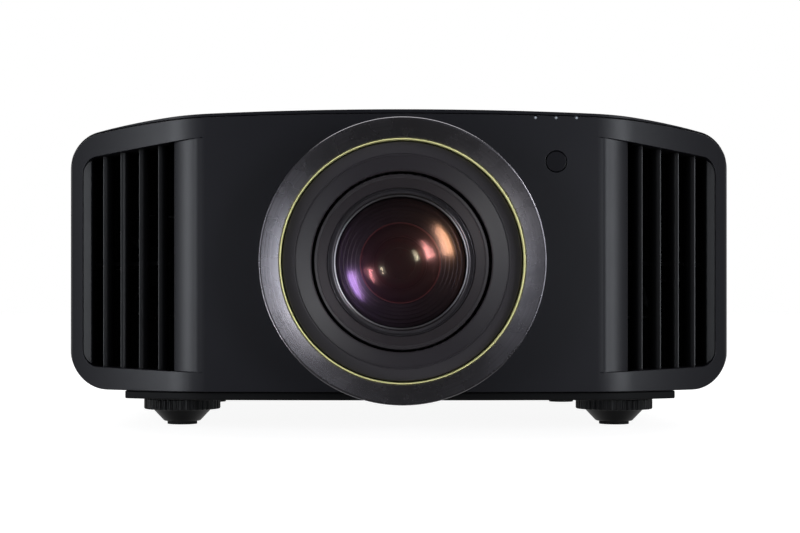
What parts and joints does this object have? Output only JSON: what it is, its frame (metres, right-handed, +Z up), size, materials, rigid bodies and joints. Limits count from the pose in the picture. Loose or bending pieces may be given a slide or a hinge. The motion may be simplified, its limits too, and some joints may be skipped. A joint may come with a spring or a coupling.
{
  "type": "home cinema projector",
  "caption": "Wide black home cinema projector with a large central lens, finned side vents, rear sockets and keypad, motorised lens shift and screw-adjustable feet.",
  "frame": {"origin": "centre of the footprint, on the surface the feet stand on", "axes": "+X to the right seen from the front, +Y from the lens towards the rear panel, +Z up"},
  "size_m": [0.5, 0.518, 0.234],
  "materials": {
    "case": "satin moulded black with a fine leather-free grain",
    "vent_plastic": "matt black",
    "ring_metal": "spun and brushed, black anodised",
    "gold_ring": "polished pale gold",
    "lens_black": "semi-matt black lacquer on a turned alloy barrel",
    "ring_steel": "turned dark ring with a bright chamfer",
    "lens_glass": "multi-coated",
    "window": "infrared-pass tinted plastic",
    "indicator": "clear light pipe",
    "tray_steel": "fine textured black powder coat",
    "foot_plastic": "moulded black",
    "foot_rubber": "matt",
    "cast_alloy": "die cast",
    "zinc_plate": "zinc plated sheet",
    "gear_plastic": "moulded acetal",
    "power_module": "ventilated zinc-plated cage round light electronics, so given a plastic's density",
    "board": "solder-masked circuit board",
    "filter": "pleated filter paper",
    "socket_metal": "nickel plated",
    "connector_plastic": "moulded black",
    "key": "soft-touch key"
  },
  "bodies": {
    "case": {"front_fascia": "case", "top_cover": "case", "top_centre_panel": "case", "rear_panel": "case", "base_tray": "tray_steel", "sensor_window": "window", "indicator_light_pipes": "indicator", "right_vent_fins": "vent_plastic", "left_vent_fins": "vent_plastic", "right_fan_duct": "vent_plastic", "left_fan_duct": "vent_plastic", "connector_panel": "zinc_plate", "hdmi_socket_1": "socket_metal", "hdmi_socket_2": "socket_metal", "lan_socket": "socket_metal", "ac_inlet": "connector_plastic", "left_intake_filter": "filter", "right_intake_filter": "filter", "optical_block": "cast_alloy", "imaging_panel_red": "cast_alloy", "imaging_panel_green": "cast_alloy", "imaging_panel_blue": "cast_alloy", "laser_module": "cast_alloy", "laser_heatsink": "cast_alloy", "power_supply": "power_module", "main_board": "board", "lens_trim_ring": "ring_metal", "gold_accent_ring": "gold_ring", "lens_well": "lens_black", "shift_base_plate": "zinc_plate", "vertical_shift_motor": "gear_plastic"},
    "vertical_shift": {"vertical_shift_plate": "zinc_plate", "horizontal_shift_motor": "gear_plastic"},
    "lens": {"horizontal_shift_plate": "zinc_plate", "lens_barrel": "lens_black", "lens_front_ring": "ring_steel", "front_element": "lens_glass"},
    "focus_ring_body": {"focus_ring": "gear_plastic"},
    "focus_group": {"focus_cell": "lens_glass"},
    "zoom_ring_body": {"zoom_ring": "gear_plastic"},
    "zoom_group": {"zoom_cell": "lens_glass"},
    "right_fan": {"right_fan_rotor": "gear_plastic"},
    "left_fan": {"left_fan_rotor": "gear_plastic"},
    "ok_key": {"ok_button": "key"},
    "up_key": {"up_button": "key"},
    "down_key": {"down_button": "key"},
    "left_key": {"left_button": "key"},
    "right_key": {"right_button": "key"},
    "power_key": {"power_button": "key"},
    "input_key": {"input_button": "key"},
    "menu_key": {"menu_button": "key"},
    "back_key": {"back_button": "key"},
    "front_left_foot": {"front_left_foot_pad": "foot_rubber"},
    "front_left_dial": {"front_left_foot_dial": "foot_plastic"},
    "front_right_foot": {"front_right_foot_pad": "foot_rubber"},
    "front_right_dial": {"front_right_foot_dial": "foot_plastic"},
    "rear_left_foot": {"rear_left_foot_pad": "foot_rubber"},
    "rear_left_dial": {"rear_left_foot_dial": "foot_plastic"},
    "rear_right_foot": {"rear_right_foot_pad": "foot_rubber"},
    "rear_right_dial": {"rear_right_foot_dial": "foot_plastic"}
  },
  "joints": [
    {"name": "lens_shift_vertical", "type": "slide", "parent": "case", "child": "vertical_shift", "axis": [0, 0, 1], "range_m": [-0.008, 0.008]},
    {"name": "lens_shift_horizontal", "type": "slide", "parent": "vertical_shift", "child": "lens", "axis": [1, 0, 0], "range_m": [-0.0065, 0.0065]},
    {"name": "focus_ring_turn", "type": "hinge", "parent": "lens", "child": "focus_ring_body", "pos_m": [0, -0.288, 0.1225], "axis": [0, -1, 0], "range_deg": [-60, 60]},
    {"name": "focus_group_slide", "type": "slide", "parent": "lens", "child": "focus_group", "axis": [0, -1, 0], "range_m": [-0.003, 0.003]},
    {"name": "zoom_ring_turn", "type": "hinge", "parent": "lens", "child": "zoom_ring_body", "pos_m": [0, -0.345, 0.1225], "axis": [0, -1, 0], "range_deg": [-45, 45]},
    {"name": "zoom_group_slide", "type": "slide", "parent": "lens", "child": "zoom_group", "axis": [0, -1, 0], "range_m": [-0.006, 0.006]},
    {"name": "right_fan_spin", "type": "hinge", "parent": "case", "child": "right_fan", "pos_m": [0.191, -0.109, 0.1225], "axis": [0, -1, 0], "continuous": true},
    {"name": "left_fan_spin", "type": "hinge", "parent": "case", "child": "left_fan", "pos_m": [-0.191, -0.109, 0.1225], "axis": [0, -1, 0], "continuous": true},
    {"name": "ok_key_press", "type": "slide", "parent": "case", "child": "ok_key", "axis": [0, -1, 0], "range_m": [0, 0.0008], "stiffness_N_per_m": 400},
    {"name": "up_key_press", "type": "slide", "parent": "case", "child": "up_key", "axis": [0, -1, 0], "range_m": [0, 0.0008], "stiffness_N_per_m": 400},
    {"name": "down_key_press", "type": "slide", "parent": "case", "child": "down_key", "axis": [0, -1, 0], "range_m": [0, 0.0008], "stiffness_N_per_m": 400},
    {"name": "left_key_press", "type": "slide", "parent": "case", "child": "left_key", "axis": [0, -1, 0], "range_m": [0, 0.0008], "stiffness_N_per_m": 400},
    {"name": "right_key_press", "type": "slide", "parent": "case", "child": "right_key", "axis": [0, -1, 0], "range_m": [0, 0.0008], "stiffness_N_per_m": 400},
    {"name": "power_key_press", "type": "slide", "parent": "case", "child": "power_key", "axis": [0, -1, 0], "range_m": [0, 0.0008], "stiffness_N_per_m": 400},
    {"name": "input_key_press", "type": "slide", "parent": "case", "child": "input_key", "axis": [0, -1, 0], "range_m": [0, 0.0008], "stiffness_N_per_m": 400},
    {"name": "menu_key_press", "type": "slide", "parent": "case", "child": "menu_key", "axis": [0, -1, 0], "range_m": [0, 0.0008], "stiffness_N_per_m": 400},
    {"name": "back_key_press", "type": "slide", "parent": "case", "child": "back_key", "axis": [0, -1, 0], "range_m": [0, 0.0008], "stiffness_N_per_m": 400},
    {"name": "front_left_foot_extend", "type": "slide", "parent": "case", "child": "front_left_foot", "axis": [0, 0, -1], "range_m": [0, 0.005]},
    {"name": "front_left_dial_turn", "type": "hinge", "parent": "front_left_foot", "child": "front_left_dial", "pos_m": [-0.1664, -0.156, 0.0157], "axis": [0, 0, -1], "range_deg": [0, 1440]},
    {"name": "front_right_foot_extend", "type": "slide", "parent": "case", "child": "front_right_foot", "axis": [0, 0, -1], "range_m": [0, 0.005]},
    {"name": "front_right_dial_turn", "type": "hinge", "parent": "front_right_foot", "child": "front_right_dial", "pos_m": [0.1664, -0.156, 0.0157], "axis": [0, 0, -1], "range_deg": [0, 1440]},
    {"name": "rear_left_foot_extend", "type": "slide", "parent": "case", "child": "rear_left_foot", "axis": [0, 0, -1], "range_m": [0, 0.005]},
    {"name": "rear_left_dial_turn", "type": "hinge", "parent": "rear_left_foot", "child": "rear_left_dial", "pos_m": [-0.1664, 0.168, 0.0157], "axis": [0, 0, -1], "range_deg": [0, 1440]},
    {"name": "rear_right_foot_extend", "type": "slide", "parent": "case", "child": "rear_right_foot", "axis": [0, 0, -1], "range_m": [0, 0.005]},
    {"name": "rear_right_dial_turn", "type": "hinge", "parent": "rear_right_foot", "child": "rear_right_dial", "pos_m": [0.1664, 0.168, 0.0157], "axis": [0, 0, -1], "range_deg": [0, 1440]}
  ],
  "couplings": [
    {"joint": "focus_group_slide", "follows": "focus_ring_turn", "m_per_rad": 0.002769},
    {"joint": "zoom_group_slide", "follows": "zoom_ring_turn", "m_per_rad": 0.007512},
    {"joint": "front_left_dial_turn", "follows": "front_left_foot_extend", "rad_per_m": 5026.5},
    {"joint": "front_right_dial_turn", "follows": "front_right_foot_extend", "rad_per_m": 5026.5},
    {"joint": "rear_left_dial_turn", "follows": "rear_left_foot_extend", "rad_per_m": 5026.5},
    {"joint": "rear_right_dial_turn", "follows": "rear_right_foot_extend", "rad_per_m": 5026.5}
  ]
}
